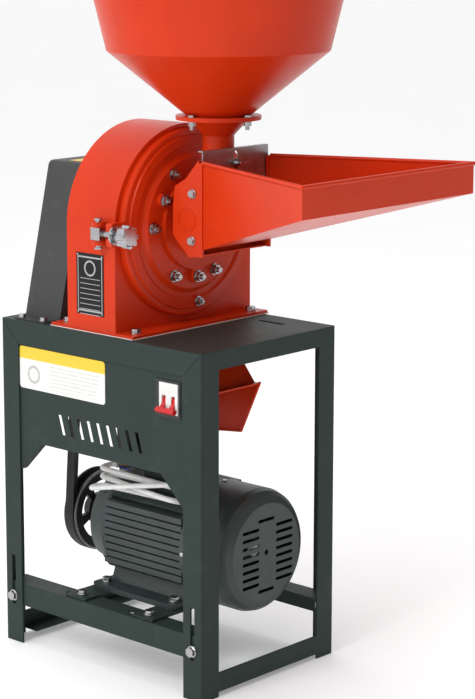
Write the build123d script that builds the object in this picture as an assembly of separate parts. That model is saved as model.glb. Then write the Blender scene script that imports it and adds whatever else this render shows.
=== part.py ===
from build123d import *
import math
import os

# Disc mill with claw teeth on an angle-iron stand, belt driven from a motor below.
# Millimetres, +Z up, -Y is the door side, -X the switch-panel side, +Y the belt side.

# ---- driving dimensions ----
STAND_X = 290.0
STAND_Y = 412.0
STAND_H = 505.0
ANGLE = 36.0
SHEET = 3.0
RAIL_FLANGE = 20.0
CROSS_RAIL_H = 27.0
FLOOR_RAIL_Z = 7.3
FLOOR_RAIL_H = 28.5
MOTOR_RAIL_TOP = 94.3
STRAP_T = 3.7
STRAP_W = 42.0
AXIS_X = 8.0
MOTOR_Z = 186.0
MILL_Z = 658.0
MOTOR_R = 85.0
FOOT_TOP = 106.0
FOOT_BOLT_X = 80.0
FOOT_BOLT_Y = (58.0, -82.0)
FAN_COVER_R = 92.0
SHAFT_R = 12.5
BEARING_OD = 52.0
BEARING_W = 15.0
RUN_FIT = 0.05
BELT_Y = 157.0
BIG_R = 64.0
SMALL_R = 32.0
BELT_W = 17.0
BELT_H = 11.0
CASE_R = 145.0
CASE_FRONT = -30.0
CASE_REAR = 69.0
CHAMBER_R = 122.0
DOOR_R = 138.0
DOOR_FRONT = -42.0
DOOR_GAP = 0.3
HINGE = (165.0, -36.0)
LATCH = (-148.0, 655.0)
LATCH_PIN_Y = -8.0
FEED_Y = -97.5
CHEEK_X = 72.0
GATE_Y = -130.0
TRAY_Y0 = -134.0
TRAY_Y1 = -414.0
TRAY_W0 = 72.0
TRAY_W1 = 186.0
TRAY_Z = 757.5
BREAKER_Y0 = -160.8
BREAKER_Y1 = -124.8
TOGGLE_X = -138.5
TOGGLE_Z = 430.0
LEAD_R = 4.0
HOPPER_Z = 816.0
HOPPER_RIM_R = 195.0
HOPPER_RIM_Z = 1055.0
ORIGIN = (-8.0, 105.5, 0.0)


# ---- helpers ----
def box(x0, x1, y0, y1, z0, z1):
    centre = Pos((x0 + x1) / 2, (y0 + y1) / 2, (z0 + z1) / 2)
    return centre * Box(abs(x1 - x0), abs(y1 - y0), abs(z1 - z0))


def cyl_y(r, x, z, y0, y1):
    return Pos(x, (y0 + y1) / 2, z) * Rot(90, 0, 0) * Cylinder(r, abs(y1 - y0))


def cyl_z(r, x, y, z0, z1):
    return Pos(x, y, (z0 + z1) / 2) * Cylinder(r, abs(z1 - z0))


def cyl_x(r, y, z, x0, x1):
    return Pos((x0 + x1) / 2, y, z) * Rot(0, 90, 0) * Cylinder(r, abs(x1 - x0))


def poly_yz(points, x0, x1):
    face = make_face(Polyline([(x0, y, z) for y, z in points], close=True))
    return extrude(face, amount=x1 - x0, dir=(1, 0, 0))


def poly_xz(points, y0, y1):
    face = make_face(Polyline([(x, y0, z) for x, z in points], close=True))
    return extrude(face, amount=y1 - y0, dir=(0, 1, 0))


def poly_xy(points, z0, z1):
    face = make_face(Polyline([(x, y, z0) for x, y in points], close=True))
    return extrude(face, amount=z1 - z0, dir=(0, 0, 1))


def turn_y(points, x, z):
    # points are (radius, y), revolved about the Y line through x, z
    face = make_face(Polyline([(x + r, y, z) for r, y in points], close=True))
    return revolve(face, Axis((x, 0, z), (0, 1, 0)), 360)


def turn_z(points, x, y):
    # points are (radius, z), revolved about the Z line through x, y
    face = make_face(Polyline([(x + r, y, z) for r, z in points], close=True))
    return revolve(face, Axis((x, y, 0), (0, 0, 1)), 360)


def hex_y(flat, x, z, y0, y1, bore=0.0):
    face = Pos(x, y0, z) * Rot(-90, 0, 0) * RegularPolygon(flat / math.sqrt(3), 6)
    nut = extrude(face, amount=y1 - y0, dir=(0, 1, 0))
    if bore:
        nut = nut - cyl_y(bore, x, z, y0 - 1, y1 + 1)
    return nut


def hex_z(flat, x, y, z0, z1):
    face = Pos(x, y, z0) * RegularPolygon(flat / math.sqrt(3), 6)
    return extrude(face, amount=z1 - z0, dir=(0, 0, 1))


def hex_x(flat, y, z, x0, x1):
    face = Pos(x0, y, z) * Rot(0, 90, 0) * RegularPolygon(flat / math.sqrt(3), 6)
    return extrude(face, amount=x1 - x0, dir=(1, 0, 0))


def rod(a, b, r):
    start = Vector(*a)
    way = Vector(*b) - start
    face = Plane(origin=start, z_dir=way) * Circle(r)
    return extrude(face, amount=way.length)


def polar(x, z, r, angle):
    t = math.radians(angle)
    return x + r * math.cos(t), z + r * math.sin(t)


def slot_z(x, y, z0, z1, length, width, along):
    if along == "x":
        core = box(x - length / 2 + width / 2, x + length / 2 - width / 2, y - width / 2, y + width / 2, z0, z1)
        ends = [(x - length / 2 + width / 2, y), (x + length / 2 - width / 2, y)]
    else:
        core = box(x - width / 2, x + width / 2, y - length / 2 + width / 2, y + length / 2 - width / 2, z0, z1)
        ends = [(x, y - length / 2 + width / 2), (x, y + length / 2 - width / 2)]
    for ex, ey in ends:
        core = core + cyl_z(width / 2, ex, ey, z0, z1)
    return core


def save(shape, name):
    export_step(Pos(*ORIGIN) * shape, "parts/" + name + ".step")


def bolt_down(x, y, top, bottom, size, head):
    # screw with its washer and head on top of a joint and a nut below
    flat = size * 1.625
    bolt = cyl_z(size / 2, x, y, bottom - size, top + head)
    bolt = bolt + cyl_z(size, x, y, top, top + 1.6)
    bolt = bolt + hex_z(flat, x, y, top + 1.6, top + 1.6 + head)
    return bolt + hex_z(flat, x, y, bottom - size * 0.75, bottom)


# ---- stand ----
def leg(sx, sy):
    hx = STAND_X / 2
    hy = STAND_Y / 2
    side = box(hx - SHEET, hx, hy - ANGLE, hy, 0, STAND_H)
    corner = poly_yz([(hy, STAND_H), (hy - ANGLE, STAND_H), (hy - ANGLE, STAND_H - ANGLE)], hx - 5, hx + 1)
    side = side - corner
    face = box(hx - ANGLE, hx, hy - SHEET, hy, 0, STAND_H)
    slot = box(hx - 10, hx + 1, 184, 192, 63, 134)
    for z in (63, 134):
        slot = slot + cyl_x(4, 188, z, hx - 10, hx + 1)
    body = side + face - slot
    edge = body.edges().filter_by(Axis.Z).sort_by(lambda e: -(e.center().X + e.center().Y))[0]
    body = fillet(edge, 2.6)
    if sx < 0:
        body = mirror(body, about=Plane.YZ)
    if sy < 0:
        body = mirror(body, about=Plane.XZ)
    return body


def side_rail(sx):
    hx = STAND_X / 2
    hy = STAND_Y / 2
    low = STAND_H - ANGLE
    face = poly_yz([(-hy, STAND_H), (hy, STAND_H), (hy - ANGLE, low), (ANGLE - hy, low)], hx - SHEET, hx)
    face = face - box(hx - 10, hx + 1, hy - SHEET, hy + 1, low, STAND_H + 1)
    face = face - box(hx - 10, hx + 1, -hy - 1, SHEET - hy, low, STAND_H + 1)
    for s in (-1, 1):
        seam = [(s * (hy + 1), STAND_H + 1), (s * (hy - 0.2), STAND_H + 1), (s * (hy - ANGLE - 1.2), low)]
        seam.append((s * (hy - ANGLE), low))
        face = face - poly_yz(seam, hx - 0.8, hx + 1)
    top = box(hx - RAIL_FLANGE, hx - SHEET, SHEET - hy, hy - SHEET, STAND_H - SHEET, STAND_H)
    rail = face + top
    if sx > 0:
        for y in (-50, 90):
            rail = rail - cyl_z(4.3, AXIS_X + 124, y, 495, 510)
        for y in (130, 176):
            rail = rail - cyl_z(3.3, 136, y, 495, 510)
        return rail
    for y in (130, 176):
        rail = rail - cyl_z(3.3, 130, y, 495, 510)
    return mirror(rail, about=Plane.YZ)


def cross_rails():
    half = STAND_X / 2 - ANGLE
    hy = STAND_Y / 2
    rails = []
    for s in (-1, 1):
        face = box(-half, half, s * (hy - SHEET), s * hy, STAND_H - CROSS_RAIL_H, STAND_H)
        inner = STAND_X / 2 - RAIL_FLANGE
        top = box(-half, half, s * (hy - RAIL_FLANGE), s * (hy - SHEET), STAND_H - SHEET, STAND_H)
        wing = box(-inner, inner, s * (hy - RAIL_FLANGE), s * (hy - SHEET), STAND_H - SHEET, STAND_H)
        rails.append(face + top + wing)
    return Compound(rails)


def floor_rails():
    half = STAND_X / 2 - ANGLE
    hy = STAND_Y / 2
    rails = []
    for s in (-1, 1):
        face = box(-half, half, s * (hy - SHEET), s * hy, FLOOR_RAIL_Z, FLOOR_RAIL_Z + FLOOR_RAIL_H)
        inner = s * (hy - FLOOR_RAIL_H)
        low = box(-half, half, inner, s * (hy - SHEET), FLOOR_RAIL_Z, FLOOR_RAIL_Z + SHEET)
        rails.append(face + low)
    return Compound(rails)


def table_plate():
    hx = STAND_X / 2 - RAIL_FLANGE
    hy = STAND_Y / 2 - RAIL_FLANGE
    plate = box(-hx, hx, -hy, hy, STAND_H - SHEET, STAND_H)
    plate = plate - box(AXIS_X - 44, AXIS_X + 44, -62, 28, 495, 510)
    plate = plate - box(AXIS_X - 53, AXIS_X + 53, 142, 172, 495, 510)
    for y in (-50, 90):
        plate = plate - cyl_z(4.3, AXIS_X - 124, y, 495, 510)
    plate = plate - slot_z(100, -120, 495, 510, 50, 8, "y")
    return plate


def motor_rail(sx):
    hx = STAND_X / 2 - SHEET
    hy = STAND_Y / 2 - SHEET
    face = box(hx - SHEET, hx, -hy, hy, MOTOR_RAIL_TOP - 35, MOTOR_RAIL_TOP)
    top = box(hx - ANGLE, hx, -hy, hy, MOTOR_RAIL_TOP - SHEET, MOTOR_RAIL_TOP)
    rail = face + top
    for y in (-188, 188):
        rail = rail - cyl_x(4.3, y, 73, hx - 10, hx + 1)
    for y in (68, -64):
        rail = rail - slot_z(124, y, 80, 100, 48, 8.6, "y")
    if sx < 0:
        rail = mirror(rail, about=Plane.YZ)
    return rail


def motor_straps():
    straps = []
    for y in FOOT_BOLT_Y:
        z0 = MOTOR_RAIL_TOP
        strap = box(-139, 139, y - STRAP_W / 2, y + STRAP_W / 2, z0, z0 + STRAP_T)
        for s in (-1, 1):
            strap = strap - cyl_z(4.3, s * 124, y, 80, 110)
            strap = strap - slot_z(AXIS_X + s * (FOOT_BOLT_X - 4), y, 80, 110, 44, 8.6, "x")
        straps.append(strap)
    return Compound(straps)


def mount_bolts():
    bolts = []
    for y in FOOT_BOLT_Y:
        for s in (-1, 1):
            bolts.append(bolt_down(s * 124, y, MOTOR_RAIL_TOP + STRAP_T, MOTOR_RAIL_TOP - SHEET, 8, 5.3))
            bolts.append(bolt_down(AXIS_X + s * FOOT_BOLT_X, y, FOOT_TOP, MOTOR_RAIL_TOP, 8, 5.3))
    for s in (-1, 1):
        for y in (-188, 188):
            out = STAND_X / 2
            head = hex_x(13, y, 73, s * (out + 1.6), s * (out + 7)) + cyl_x(8.5, y, 73, s * out, s * (out + 1.6))
            nut = hex_x(13, y, 73, s * (out - 12), s * (out - 6))
            bolts.append(head + nut + cyl_x(4, y, 73, s * (out - 14), s * (out + 2)))
    return Compound(bolts)


# ---- switch panel ----
def panel_points():
    return [(-203, 498), (203, 498), (203, 275), (170, 275), (124, 321), (-124, 321), (-170, 275), (-203, 275)]


def switch_panel():
    outer = STAND_X / 2 - SHEET
    panel = poly_yz(panel_points(), -outer, 1.5 - outer)
    band = [(-170, 275), (-124, 321), (124, 321), (170, 275), (172.1, 275), (124.6, 322.5)]
    band = band + [(-124.6, 322.5), (-172.1, 275)]
    panel = panel + poly_yz(band, 1.5 - outer, 12 - outer)
    for i in range(9):
        y = -80 + i * 20
        vent = [(y - 8, 343), (y - 1, 343), (y + 8, 373), (y + 1, 373)]
        panel = panel - poly_yz(vent, -outer - 1, 4 - outer)
    return panel - box(-150, -135, BREAKER_Y0, BREAKER_Y1, 411, 455.5)


def breaker():
    face = box(-145.5, -140.5, BREAKER_Y0, BREAKER_Y1, 411, 455.5)
    body = box(-140.5, -78, BREAKER_Y0, BREAKER_Y1, 392, 472)
    unit = face + body
    unit = unit - cyl_y(5.5, TOGGLE_X, TOGGLE_Z, BREAKER_Y0 + 1.6, BREAKER_Y1 - 1.6)
    for y in (BREAKER_Y0 + 9, BREAKER_Y1 - 9):
        unit = unit - box(-146, TOGGLE_X, y - 3.8, y + 3.8, 417.5, 437.5)
    return unit


def breaker_bezel():
    frame = box(-143.5, -142, -164.4, -116, 405, 459)
    return frame - box(-150, -140, BREAKER_Y0, BREAKER_Y1, 411, 455.5)


def breaker_toggle():
    hub = cyl_y(5, TOGGLE_X, TOGGLE_Z, BREAKER_Y0 + 2, BREAKER_Y1 - 2)
    bar = box(-21.8, -14.6, BREAKER_Y0 + 0.6, BREAKER_Y1 - 0.6, -3.6, 3.6)
    bar = fillet(bar.edges().filter_by(Axis.Y), 1.6)
    lever = bar
    for y in (BREAKER_Y0 + 9, BREAKER_Y1 - 9):
        lever = lever + box(-18, 0, y - 3.2, y + 3.2, -2.5, 2.5)
    return hub + Pos(TOGGLE_X, 0, TOGGLE_Z) * Rot(0, -46.6, 0) * lever


def panel_label():
    film = box(-142.8, -142, -13, 169.5, 403, 467)
    return fillet(film.edges().filter_by(Axis.X), 5)


# ---- motor ----
def motor_housing():
    y0 = -100.0
    y1 = 60.0
    body = cyl_y(78, AXIS_X, MOTOR_Z, y0, y1)
    body = body + box(AXIS_X - 77.5, AXIS_X + 77.5, y0, y1, MOTOR_Z - 46, MOTOR_Z + 46)
    body = body + box(AXIS_X - 46, AXIS_X + 46, y0, y1, MOTOR_Z, MOTOR_Z + 77.5)
    for k in range(-4, 5):
        z = MOTOR_Z + k * 11.0
        body = body + box(AXIS_X - 83, AXIS_X + 83, y0, y1, z - 4.3, z + 4.3)
    for k in range(-4, 5):
        x = AXIS_X + k * 11.0
        body = body + box(x - 4.3, x + 4.3, y0, y1, MOTOR_Z, MOTOR_Z + 83)
    for angle in (45, 135, 225, 315):
        rib = box(55, MOTOR_R + 1, y0, y1, -11, 11)
        body = body + Pos(AXIS_X, 0, MOTOR_Z) * Rot(0, -angle, 0) * rib
    foot = box(AXIS_X - 98, AXIS_X + 98, -96, 74, 98, FOOT_TOP)
    foot = fillet(foot.edges().filter_by(Axis.Z), 8)
    slope = [(-68, FOOT_TOP), (-58, 134), (58, 134), (68, FOOT_TOP)]
    foot = foot + poly_xz([(AXIS_X + x, z) for x, z in slope], -92, 60)
    for y in FOOT_BOLT_Y:
        for s in (-1, 1):
            foot = foot - cyl_z(4.4, AXIS_X + s * FOOT_BOLT_X, y, 90, 110)
    body = body + foot
    body = body - cyl_y(62, AXIS_X, MOTOR_Z, y0 - 5, y1 + 0.01)
    body = body - cyl_y(90, AXIS_X, MOTOR_Z, y1, 90)
    return body - box(-30, 46, -50, 20, 262, 300)


def shield_profile(sign, start, depth, radius):
    end = start + sign * depth
    seat0 = end - sign * 7
    seat1 = seat0 - sign * BEARING_W
    inside = start + sign * 6
    seat = BEARING_OD / 2
    pts = [(radius, start), (radius, start + sign * 8), (radius - 8, end - sign * 5), (radius - 14, end)]
    pts = pts + [(14, end), (14, seat0), (seat, seat0), (seat, seat1)]
    return pts + [(34, seat1), (40, inside), (60, inside), (60, start)]


def drive_end_shield():
    shield = turn_y(shield_profile(1, 60.0, 45.0, 82.0), AXIS_X, MOTOR_Z)
    for angle in (45, 135, 225, 315):
        x, z = polar(AXIS_X, MOTOR_Z, 77, angle)
        shield = shield + cyl_y(9, x, z, 60, 74)
        shield = shield - cyl_y(8.5, x, z, 74, 110)
    return shield


def fan_end_shield():
    shield = turn_y(shield_profile(-1, -100.0, 28.0, 80.0), AXIS_X, MOTOR_Z)
    for angle in (0, 90, 180, 270):
        x, z = polar(AXIS_X, MOTOR_Z, 83, angle)
        lug = Pos(x, -110, z) * Rot(0, -angle, 0) * Box(14, 12, 16)
        shield = shield + (lug & cyl_y(FAN_COVER_R - 2, AXIS_X, MOTOR_Z, -125, -100))
    return shield


def fan_cover():
    r = FAN_COVER_R
    pts = [(r, -103.6), (r, -171), (r - 3, -181), (r - 9, -188), (r - 19, -193), (4, -193), (4, -191)]
    pts = pts + [(r - 20, -191), (r - 10.5, -186.4), (r - 5, -180), (r - 2, -170.6), (r - 2, -103.6)]
    cover = turn_y(pts, AXIS_X, MOTOR_Z)
    for row in range(10):
        z = 235.0 - row * 11.8
        spans = [(-52, -16), (21, 58)]
        if row in (0, 9):
            spans = [(-10 - AXIS_X, 25 - AXIS_X)]
        for a, b in spans:
            slot = box(AXIS_X + a + 2.4, AXIS_X + b - 2.4, -196, -185, z - 2.4, z + 2.4)
            slot = slot + cyl_y(2.4, AXIS_X + a + 2.4, z, -196, -185)
            slot = slot + cyl_y(2.4, AXIS_X + b - 2.4, z, -196, -185)
            cover = cover - slot
    return cover


def motor_shaft():
    shaft = cyl_y(SHAFT_R, AXIS_X, MOTOR_Z, -168, 172)
    return chamfer(shaft.edges(), 1)


def motor_rotor_core():
    return cyl_y(37, AXIS_X, MOTOR_Z, -70, 40) - cyl_y(SHAFT_R, AXIS_X, MOTOR_Z, -71, 41)


def motor_stator_core():
    core = cyl_y(62, AXIS_X, MOTOR_Z, -70, 40)
    return core - cyl_y(37.6, AXIS_X, MOTOR_Z, -71, 41)


def motor_fan():
    fan = turn_y([(SHAFT_R, -160), (20, -160), (20, -144), (76, -144), (76, -141), (SHAFT_R, -141)], AXIS_X, MOTOR_Z)
    for i in range(7):
        blade = box(24, 76, -164, -144, -1.2, 1.2)
        fan = fan + Pos(AXIS_X, 0, MOTOR_Z) * Rot(0, i * 360 / 7, 0) * blade
    return fan


def terminal_box():
    body = box(-30, 46, -50, 20, 262, 308) - box(-27, 43, -47, 17, 271, 311)
    body = body - cyl_y(MOTOR_R + 1, AXIS_X, MOTOR_Z, -60, 30)
    lid = box(-32, 48, -52, 22, 308, 316)
    gland = cyl_y(9, -6, 285, -58, -46) - cyl_y(4.2, -6, 285, -60, -40)
    return Compound([body - cyl_y(9, -6, 285, -55, -45), fillet(lid.edges().filter_by(Axis.Z), 4), gland])


def end_screws():
    screws = []
    for angle in (45, 135, 225, 315):
        x, z = polar(AXIS_X, MOTOR_Z, 77, angle)
        screws.append(hex_y(10, x, z, 74, 79))
    return screws


def cover_screws():
    screws = []
    for angle in (0, 90, 180, 270):
        start = polar(AXIS_X, MOTOR_Z, FAN_COVER_R, angle)
        stop = polar(AXIS_X, MOTOR_Z, FAN_COVER_R + 1.6, angle)
        screws.append(rod((start[0], -110, start[1]), (stop[0], -110, stop[1]), 3.2))
    return screws


def shield_screws():
    return Compound(end_screws() + cover_screws())


# ---- belt drive ----
def groove(radius):
    outer = radius + 1.0
    slope = 3.25 / BELT_H
    half = BELT_W / 2 - slope + 0.4
    low = outer - BELT_H - 1.5
    bottom = BELT_W / 2 - slope * (outer - low) + 0.4
    return [(radius, BELT_Y + half), (low, BELT_Y + bottom), (low, BELT_Y - bottom), (radius, BELT_Y - half)]


def pulley(radius, z, webbed):
    side = 12.0
    pts = [(SHAFT_R, BELT_Y + side), (radius, BELT_Y + side)] + groove(radius)
    pts = pts + [(radius, BELT_Y - side), (SHAFT_R, BELT_Y - side)]
    wheel = turn_y(pts, AXIS_X, z)
    if not webbed:
        return wheel
    for s in (-1, 1):
        ring = cyl_y(48, AXIS_X, z, BELT_Y + s * 4, BELT_Y + s * 13)
        wheel = wheel - (ring - cyl_y(21, AXIS_X, z, BELT_Y + s * 3, BELT_Y + s * 14))
    for i in range(5):
        ring = cyl_y(46, AXIS_X, z, BELT_Y - 5, BELT_Y + 5) - cyl_y(25, AXIS_X, z, BELT_Y - 6, BELT_Y + 6)
        corners = [(0, 0)]
        for angle in (-25, 25):
            t = math.radians(angle + 18 + 72 * i)
            corners.append((70 * math.cos(t), 70 * math.sin(t)))
        wedge = poly_xz([(AXIS_X + x, z + w) for x, w in corners], BELT_Y - 7, BELT_Y + 7)
        wheel = wheel - (ring & wedge)
    return wheel


def belt_face(z, angle, outer):
    t = math.radians(angle)
    way = (math.cos(t), 0, math.sin(t))
    plane = Plane(origin=(AXIS_X, BELT_Y, z), x_dir=way, z_dir=(-math.sin(t), 0, math.cos(t)))
    wide = BELT_W / 2
    slim = wide - 3.25
    pts = [(outer, -wide), (outer, wide), (outer - BELT_H, slim), (outer - BELT_H, -slim)]
    return plane * make_face(Polyline(pts, close=True))


def drive_belt():
    big = BIG_R + 1
    small = SMALL_R + 1
    span = MILL_Z - MOTOR_Z
    lean = math.degrees(math.asin((big - small) / span))
    run = span * math.cos(math.radians(lean))
    right = extrude(belt_face(MOTOR_Z, lean, big), amount=run)
    left = mirror(right, about=Plane(origin=(AXIS_X, 0, 0), z_dir=(1, 0, 0)))
    top = revolve(belt_face(MILL_Z, lean, small), Axis((AXIS_X, 0, MILL_Z), (0, -1, 0)), 180 - 2 * lean)
    low = revolve(belt_face(MOTOR_Z, 180 - lean, big), Axis((AXIS_X, 0, MOTOR_Z), (0, -1, 0)), 180 + 2 * lean)
    return right + left + top + low


def belt_guard():
    def shell(inset):
        x0 = AXIS_X - 121 + inset
        x1 = AXIS_X + 121 - inset
        t0 = AXIS_X - 68 + inset
        t1 = AXIS_X + 68 - inset
        z0 = STAND_H - (1 if inset else 0)
        return poly_xz([(x0, z0), (x1, z0), (t1, 738 - inset), (t0, 738 - inset)], 113 + inset, 188 - inset)
    guard = shell(0)
    guard = fillet(guard.edges().group_by(Axis.Z)[-1].filter_by(Axis.Y), 10)
    guard = guard - shell(2)
    guard = guard + box(-138, AXIS_X - 119.5, 120, 184, STAND_H, STAND_H + 2)
    guard = guard + box(AXIS_X + 119.5, 144, 120, 184, STAND_H, STAND_H + 2)
    for y in (130, 176):
        guard = guard - cyl_z(3.3, -130, y, 500, 510)
        guard = guard - cyl_z(3.3, 136, y, 500, 510)
    return guard - cyl_y(14, AXIS_X, MILL_Z, 110, 118)


def table_bolts():
    bolts = []
    for y in (-50, 90):
        for s in (-1, 1):
            bolts.append(bolt_down(AXIS_X + s * 124, y, STAND_H + 5, STAND_H - SHEET, 8, 5.3))
    for y in (130, 176):
        for x in (-130, 136):
            bolts.append(bolt_down(x, y, STAND_H + 2, STAND_H - SHEET, 6, 4))
    return Compound(bolts)


# ---- mill ----
def case_outline(r, y0, y1, z0):
    return cyl_y(r, AXIS_X, MILL_Z, y0, y1) + box(AXIS_X - r, AXIS_X + r, y0, y1, z0, MILL_Z)


def hinge_lug(z0, z1):
    hx, hy = HINGE
    lug = cyl_z(9, hx, hy, z0, z1) + box(hx - 9, hx + 9, hy, -8, z0, z1)
    lug = lug + box(AXIS_X + CASE_R - 14, hx + 9, -27, -8, z0, z1)
    return lug - cyl_z(4, hx, hy, z0 - 1, z1 + 1)


def latch_lug(z0, z1):
    x = LATCH[0]
    left = AXIS_X - CASE_R
    lug = box(x, left + 3, LATCH_PIN_Y - 9, LATCH_PIN_Y + 9, z0, z1) + cyl_z(9, x, LATCH_PIN_Y, z0, z1)
    return lug - cyl_z(4, x, LATCH_PIN_Y, z0 - 1, z1 + 1)


def mill_case():
    case = case_outline(CASE_R, CASE_FRONT, CASE_REAR, STAND_H)
    case = case + box(AXIS_X - CASE_R, AXIS_X + CASE_R, -66, 105, STAND_H, STAND_H + 5)
    case = case + hinge_lug(610, 628) + hinge_lug(688, 706)
    case = case + latch_lug(638, 645) + latch_lug(664, 671)
    case = case - cyl_y(CHAMBER_R, AXIS_X, MILL_Z, CASE_FRONT - 1, 30)
    case = case - cyl_y(110, AXIS_X, MILL_Z, 29, 36)
    case = case - case_outline(CASE_R - 8, 46, CASE_REAR + 1, STAND_H + 6)
    case = case - cyl_y(20, AXIS_X, MILL_Z, 30, 50)
    case = case - box(AXIS_X - 44, AXIS_X + 44, -20, 28, STAND_H - 1, MILL_Z - 90)
    for s in (-1, 1):
        x0 = AXIS_X + s * 60
        x1 = AXIS_X + s * (CASE_R - 8)
        case = case - box(min(x0, x1), max(x0, x1), -22, 30, STAND_H - 1, STAND_H + 24)
    for angle in (90, 200, 340):
        pad = box(109.9, CHAMBER_R + 1, -26, -16, -9, 9)
        pad = pad - cyl_y(110, 0, 0, -30, -10)
        case = case + Pos(AXIS_X, 0, MILL_Z) * Rot(0, -angle, 0) * pad
    for y in (-50, 90):
        for s in (-1, 1):
            case = case - cyl_z(4.3, AXIS_X + s * 124, y, 500, 515)
    return case


def bearing_housing():
    pts = [(62, 46), (62, 54), (40, 54), (40, 112), (14, 112), (14, 110), (26, 110), (26, 54), (20, 54), (20, 46)]
    house = turn_y(pts, AXIS_X, MILL_Z)
    for angle in (45, 135, 225, 315):
        x, z = polar(AXIS_X, MILL_Z, 51, angle)
        house = house + hex_y(13, x, z, 54, 60)
    return house


def ball_bearing(z, y0):
    seat = BEARING_OD / 2
    bore = SHAFT_R + RUN_FIT
    y1 = y0 + BEARING_W
    pts = [(bore, y0), (bore + 4, y0), (bore + 4, y0 + 1.5), (seat - 4, y0 + 1.5), (seat - 4, y0), (seat, y0)]
    pts = pts + [(seat, y1), (seat - 4, y1), (seat - 4, y1 - 1.5), (bore + 4, y1 - 1.5), (bore + 4, y1), (bore, y1)]
    return turn_y(pts, AXIS_X, z)


def ball_bearings():
    mill = [ball_bearing(MILL_Z, 56), ball_bearing(MILL_Z, 95)]
    motor = [ball_bearing(MOTOR_Z, 83), ball_bearing(MOTOR_Z, -121)]
    return Compound(mill + motor)


def main_shaft():
    shaft = cyl_y(SHAFT_R, AXIS_X, MILL_Z, -12, 172)
    shaft = chamfer(shaft.edges(), 1)
    return shaft + cyl_y(17, AXIS_X, MILL_Z, 34, 55)


def rotor_disc():
    pts = [(SHAFT_R, 2), (24, 2), (24, 12), (100, 12), (100, 20), (24, 20), (24, 34), (SHAFT_R, 34)]
    return turn_y(pts, AXIS_X, MILL_Z)


def tooth_ring(count, radius, deep, wide, y0, y1, phase):
    teeth = []
    for i in range(count):
        tooth = box(radius - deep / 2, radius + deep / 2, y0, y1, -wide / 2, wide / 2)
        teeth.append(Pos(AXIS_X, 0, MILL_Z) * Rot(0, -(phase + i * 360 / count), 0) * tooth)
    return teeth


def rotor_hammers():
    outer = tooth_ring(10, 92, 9, 16, -16, 12, 18)
    inner = tooth_ring(6, 50, 8, 14, -16, 12, 30)
    return Compound(outer + inner)


def rotor_nut():
    nut = hex_y(30, AXIS_X, MILL_Z, -9, 2, SHAFT_R)
    return nut


def sieve_ring():
    ring = cyl_y(110, AXIS_X, MILL_Z, -26, 36) - cyl_y(108, AXIS_X, MILL_Z, -27, 37)
    for row in range(3):
        for i in range(24):
            angle = 187.5 + i * 7.2
            x, z = polar(0, 0, 109, angle)
            hole = Pos(AXIS_X + x, -12 + row * 14, MILL_Z + z) * Rot(0, 90 - angle, 0) * Cylinder(3.5, 8)
            ring = ring - hole
    return ring


def nameplate():
    x = AXIS_X - CASE_R
    return box(x - 0.8, x, -7, 49, 531, 621)


def discharge_chute():
    wall = [(28, 502), (-64, 502), (-128, 423), (-139, 424), (-102, 345), (-57, 340), (28, 440)]
    hole = [(26.5, 504), (-62.5, 504), (-127.4, 421.2), (-142, 421.2), (-104, 340), (-57.4, 338), (26.5, 440.6)]
    x0 = AXIS_X - 46
    x1 = AXIS_X + 46
    chute = poly_yz(wall, x0, x1) - poly_yz(hole, x0 + 1.5, x1 - 1.5)
    flange = box(x0 - 16, x1 + 16, -76, 40, STAND_H - SHEET - 2, STAND_H - SHEET)
    flange = flange - box(x0 + 1.5, x1 - 1.5, -62.5, 26.5, 490, 510)
    chute = chute + flange
    rim = [(-139, 424), (-102, 345), (-57, 340)]
    for x in (x0 + 1, x1 - 1):
        for a, b in zip(rim[:-1], rim[1:]):
            chute = chute + rod((x, a[0], a[1]), (x, b[0], b[1]), 2.2)
        chute = chute + Pos(x, rim[1][0], rim[1][1]) * Sphere(2.2)
    return chute


# ---- door and feed ----
def door():
    back = CASE_FRONT - DOOR_GAP
    pts = [(30, back), (DOOR_R, back), (DOOR_R, DOOR_FRONT + 2), (DOOR_R - 2, DOOR_FRONT), (129, DOOR_FRONT)]
    pts = pts + [(128, -45), (116, -46), (112, -43), (104, -43.5), (97, -49), (30, -49)]
    body = turn_y(pts, AXIS_X, MILL_Z)
    hx, hy = HINGE
    arm = box(AXIS_X + 128, hx, DOOR_FRONT, back, 632, 684) + cyl_z(9, hx, hy, 630, 686)
    body = body + (arm - cyl_z(4.1, hx, hy, 620, 690))
    lx, lz = LATCH
    lug = box(lx - 7, AXIS_X - 126, DOOR_FRONT, back, lz - 17, lz + 17)
    lug = fillet(lug.edges().filter_by(Axis.Y).group_by(Axis.X)[0], 4)
    lug = lug - box(lx - 20, lx, DOOR_FRONT - 1, back + 1, lz - 5.5, lz + 5.5) - cyl_y(5.5, lx, lz, -50, -20)
    x, z = polar(AXIS_X, MILL_Z, 119, 275)
    return body + lug + cyl_y(9, x, z, -47, -43)


def fixed_toothed_disc():
    back = CASE_FRONT - DOOR_GAP
    disc = turn_y([(30, back), (104, back), (104, -22), (30, -22)], AXIS_X, MILL_Z)
    for tooth in tooth_ring(12, 71, 8, 13, -23, 4, 0):
        disc = disc + tooth
    return disc


def stud_nut(radius, angle, y):
    x, z = polar(AXIS_X, MILL_Z, radius, angle)
    return cyl_y(8.7, x, z, y - 1.6, y) + hex_y(13, x, z, y - 8.2, y - 1.6) + cyl_y(4, x, z, y - 13.5, y - 8)


def door_nuts():
    nuts = []
    for i in range(6):
        nuts.append(stud_nut(86, 60 * i, -49))
    for angle in (30, 150, 270):
        nuts.append(stud_nut(79, angle, -56))
    x, z = polar(AXIS_X, MILL_Z, 119, 275)
    nuts.append(cyl_y(7.5, x, z, -48.4, -47) + hex_y(10, x, z, -54.5, -48.4) + cyl_y(3, x, z, -58, -54))
    return Compound(nuts)


def cheek_points():
    top = [(-127.5, 762), (-102.4, 733.6), (-81, 721.6), (-77, 692.4)]
    return top + [(-77, 651), (-107.7, 621.2), (-127.2, 623.3)]


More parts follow.
